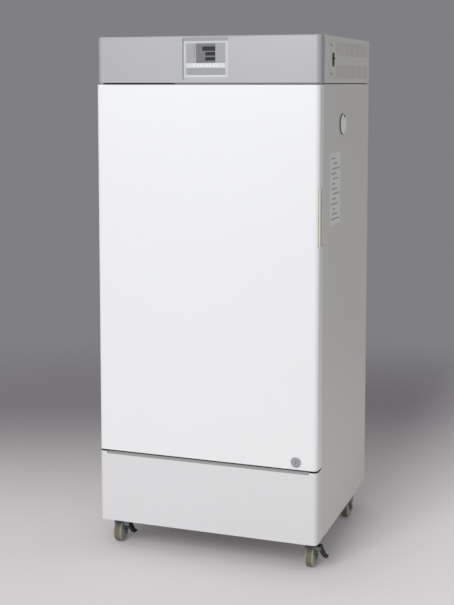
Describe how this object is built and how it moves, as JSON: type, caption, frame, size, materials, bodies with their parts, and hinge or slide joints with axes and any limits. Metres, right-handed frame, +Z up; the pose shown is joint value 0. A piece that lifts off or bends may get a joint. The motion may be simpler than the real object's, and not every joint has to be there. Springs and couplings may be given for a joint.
{
  "type": "laboratory incubator",
  "caption": "Floor standing cooled laboratory incubator on casters, with a full height door, an inner glass door, shelves, a control panel and a capped cable port.",
  "frame": {"origin": "on the floor under the middle of the cabinet", "axes": "+X to the cabinet's right seen from the front, +Y to its back, +Z up"},
  "size_m": [0.7155, 0.6376, 1.589],
  "materials": {
    "shell_paint": "satin",
    "front_paint": "satin",
    "frame_zinc": "zinc plated",
    "silver_plastic": "satin silver",
    "display_tint": "tinted",
    "key_caps": "matt",
    "circuit": "lacquered",
    "black_plastic": "matt",
    "breaker_plastic": "matt",
    "white_plastic": "satin",
    "grip_plastic": "satin",
    "gasket_rubber": "matt",
    "foam": "rigid foam",
    "stainless": "brushed stainless",
    "motor_metal": "black paint",
    "coil_aluminium": "finned",
    "pipe_copper": "copper tube",
    "lock_metal": "polished",
    "door_glass": "clear",
    "door_fittings": "polished",
    "wheel": "matt"
  },
  "bodies": {
    "cabinet": {"side_panel_left": "shell_paint", "side_panel_right": "shell_paint", "rear_panel": "shell_paint", "power_cord_gland": "black_plastic", "base_frame": "frame_zinc", "top_tray": "frame_zinc", "inner_tank": "stainless", "mouth_frame": "white_plastic", "insulation": "foam", "port_sleeve": "white_plastic", "shelf_rails": "stainless", "air_duct_panel": "stainless", "fan_motor": "motor_metal", "heater": "stainless", "evaporator": "coil_aluminium", "temperature_probe": "stainless", "lower_front_panel": "front_paint", "top_cover": "shell_paint", "control_fascia": "silver_plastic", "controller_bezel": "silver_plastic", "display_window": "display_tint", "control_board": "circuit", "breaker_body": "breaker_plastic", "hinge_brackets": "frame_zinc", "caster_mounts": "frame_zinc", "compressor": "motor_metal", "condenser": "coil_aluminium", "condenser_fan_motor": "motor_metal", "refrigerant_pipes": "pipe_copper"},
    "door": {"door_shell": "front_paint", "door_liner": "white_plastic", "door_insulation": "foam", "door_gasket": "gasket_rubber", "door_grip": "grip_plastic", "door_hinge_bushes": "white_plastic", "lock_body": "lock_metal"},
    "lock": {"lock_cylinder": "lock_metal"},
    "glass_door": {"inner_door_pane": "door_glass", "inner_door_fittings": "door_fittings"},
    "lower_shelf": {"shelf_lower": "stainless"},
    "middle_shelf": {"shelf_middle": "stainless"},
    "upper_shelf": {"shelf_upper": "stainless"},
    "chamber_fan": {"circulation_fan": "black_plastic"},
    "cooling_fan": {"condenser_fan": "black_plastic"},
    "cable_port_cap": {"port_cap": "white_plastic"},
    "breaker_switch": {"breaker_toggle": "black_plastic"},
    "button_1": {"key_1": "key_caps"},
    "button_2": {"key_2": "key_caps"},
    "button_3": {"key_3": "key_caps"},
    "button_4": {"key_4": "key_caps"},
    "caster_front_left": {"caster_fork_front_left": "frame_zinc"},
    "wheel_front_left": {"caster_wheel_front_left": "wheel"},
    "brake_front_left": {"brake_lever_front_left": "black_plastic"},
    "caster_front_right": {"caster_fork_front_right": "frame_zinc"},
    "wheel_front_right": {"caster_wheel_front_right": "wheel"},
    "brake_front_right": {"brake_lever_front_right": "black_plastic"},
    "caster_rear_left": {"caster_fork_rear_left": "frame_zinc"},
    "wheel_rear_left": {"caster_wheel_rear_left": "wheel"},
    "caster_rear_right": {"caster_fork_rear_right": "frame_zinc"},
    "wheel_rear_right": {"caster_wheel_rear_right": "wheel"}
  },
  "joints": [
    {"name": "door_hinge", "type": "hinge", "parent": "cabinet", "child": "door", "pos_m": [-0.338, -0.295, 0.88175], "axis": [0, 0, -1], "range_deg": [0, 120]},
    {"name": "lock_turn", "type": "hinge", "parent": "door", "child": "lock", "pos_m": [0.2848, -0.3, 0.3389], "axis": [0, -1, 0], "range_deg": [0, 90]},
    {"name": "inner_door_hinge", "type": "hinge", "parent": "cabinet", "child": "glass_door", "pos_m": [-0.306, -0.262, 0.8817], "axis": [0, 0, -1], "range_deg": [0, 96]},
    {"name": "breaker_rock", "type": "hinge", "parent": "cabinet", "child": "breaker_switch", "pos_m": [0.344, -0.167, 1.52], "axis": [0, 1, 0], "range_deg": [0, 40]},
    {"name": "port_cap_swing", "type": "hinge", "parent": "cabinet", "child": "cable_port_cap", "pos_m": [0.353, -0.051, 1.35125], "axis": [1, 0, 0], "range_deg": [0, 150]},
    {"name": "chamber_fan_spin", "type": "hinge", "parent": "cabinet", "child": "chamber_fan", "pos_m": [0, 0.24, 1.1817], "axis": [0, 1, 0], "continuous": true},
    {"name": "cooling_fan_spin", "type": "hinge", "parent": "cabinet", "child": "cooling_fan", "pos_m": [0.16, 0.234, 0.185], "axis": [0, 1, 0], "continuous": true},
    {"name": "lower_shelf_slide", "type": "slide", "parent": "cabinet", "child": "lower_shelf", "axis": [0, -1, 0], "range_m": [0, 0.018]},
    {"name": "middle_shelf_slide", "type": "slide", "parent": "cabinet", "child": "middle_shelf", "axis": [0, -1, 0], "range_m": [0, 0.018]},
    {"name": "upper_shelf_slide", "type": "slide", "parent": "cabinet", "child": "upper_shelf", "axis": [0, -1, 0], "range_m": [0, 0.018]},
    {"name": "key_1_press", "type": "slide", "parent": "cabinet", "child": "button_1", "axis": [0, 1, 0], "range_m": [0, 0.0008], "stiffness_N_per_m": 600, "springref_m": -0.0005},
    {"name": "key_2_press", "type": "slide", "parent": "cabinet", "child": "button_2", "axis": [0, 1, 0], "range_m": [0, 0.0008], "stiffness_N_per_m": 600, "springref_m": -0.0005},
    {"name": "key_3_press", "type": "slide", "parent": "cabinet", "child": "button_3", "axis": [0, 1, 0], "range_m": [0, 0.0008], "stiffness_N_per_m": 600, "springref_m": -0.0005},
    {"name": "key_4_press", "type": "slide", "parent": "cabinet", "child": "button_4", "axis": [0, 1, 0], "range_m": [0, 0.0008], "stiffness_N_per_m": 600, "springref_m": -0.0005},
    {"name": "caster_front_left_swivel", "type": "hinge", "parent": "cabinet", "child": "caster_front_left", "pos_m": [-0.3135, -0.213, 0.0795], "axis": [0, 0, 1], "continuous": true},
    {"name": "wheel_front_left_roll", "type": "hinge", "parent": "caster_front_left", "child": "wheel_front_left", "pos_m": [-0.3135, -0.241, 0.0325], "axis": [1, 0, 0], "continuous": true},
    {"name": "brake_front_left_lift", "type": "hinge", "parent": "caster_front_left", "child": "brake_front_left", "pos_m": [-0.2865, -0.241, 0.06], "axis": [0, -1, 0], "range_deg": [0, 35]},
    {"name": "caster_front_right_swivel", "type": "hinge", "parent": "cabinet", "child": "caster_front_right", "pos_m": [0.3135, -0.213, 0.0795], "axis": [0, 0, 1], "continuous": true},
    {"name": "wheel_front_right_roll", "type": "hinge", "parent": "caster_front_right", "child": "wheel_front_right", "pos_m": [0.3135, -0.241, 0.0325], "axis": [1, 0, 0], "continuous": true},
    {"name": "brake_front_right_lift", "type": "hinge", "parent": "caster_front_right", "child": "brake_front_right", "pos_m": [0.3405, -0.241, 0.06], "axis": [0, -1, 0], "range_deg": [0, 35]},
    {"name": "caster_rear_left_swivel", "type": "hinge", "parent": "cabinet", "child": "caster_rear_left", "pos_m": [-0.3135, 0.2316, 0.0795], "axis": [0, 0, 1], "continuous": true},
    {"name": "wheel_rear_left_roll", "type": "hinge", "parent": "caster_rear_left", "child": "wheel_rear_left", "pos_m": [-0.3135, 0.2036, 0.0325], "axis": [1, 0, 0], "continuous": true},
    {"name": "caster_rear_right_swivel", "type": "hinge", "parent": "cabinet", "child": "caster_rear_right", "pos_m": [0.3135, 0.2316, 0.0795], "axis": [0, 0, 1], "continuous": true},
    {"name": "wheel_rear_right_roll", "type": "hinge", "parent": "caster_rear_right", "child": "wheel_rear_right", "pos_m": [0.3135, 0.2036, 0.0325], "axis": [1, 0, 0], "continuous": true}
  ],
  "couplings": [
    {"joint": "inner_door_hinge", "follows": "door_hinge", "ratio": 0.8}
  ]
}
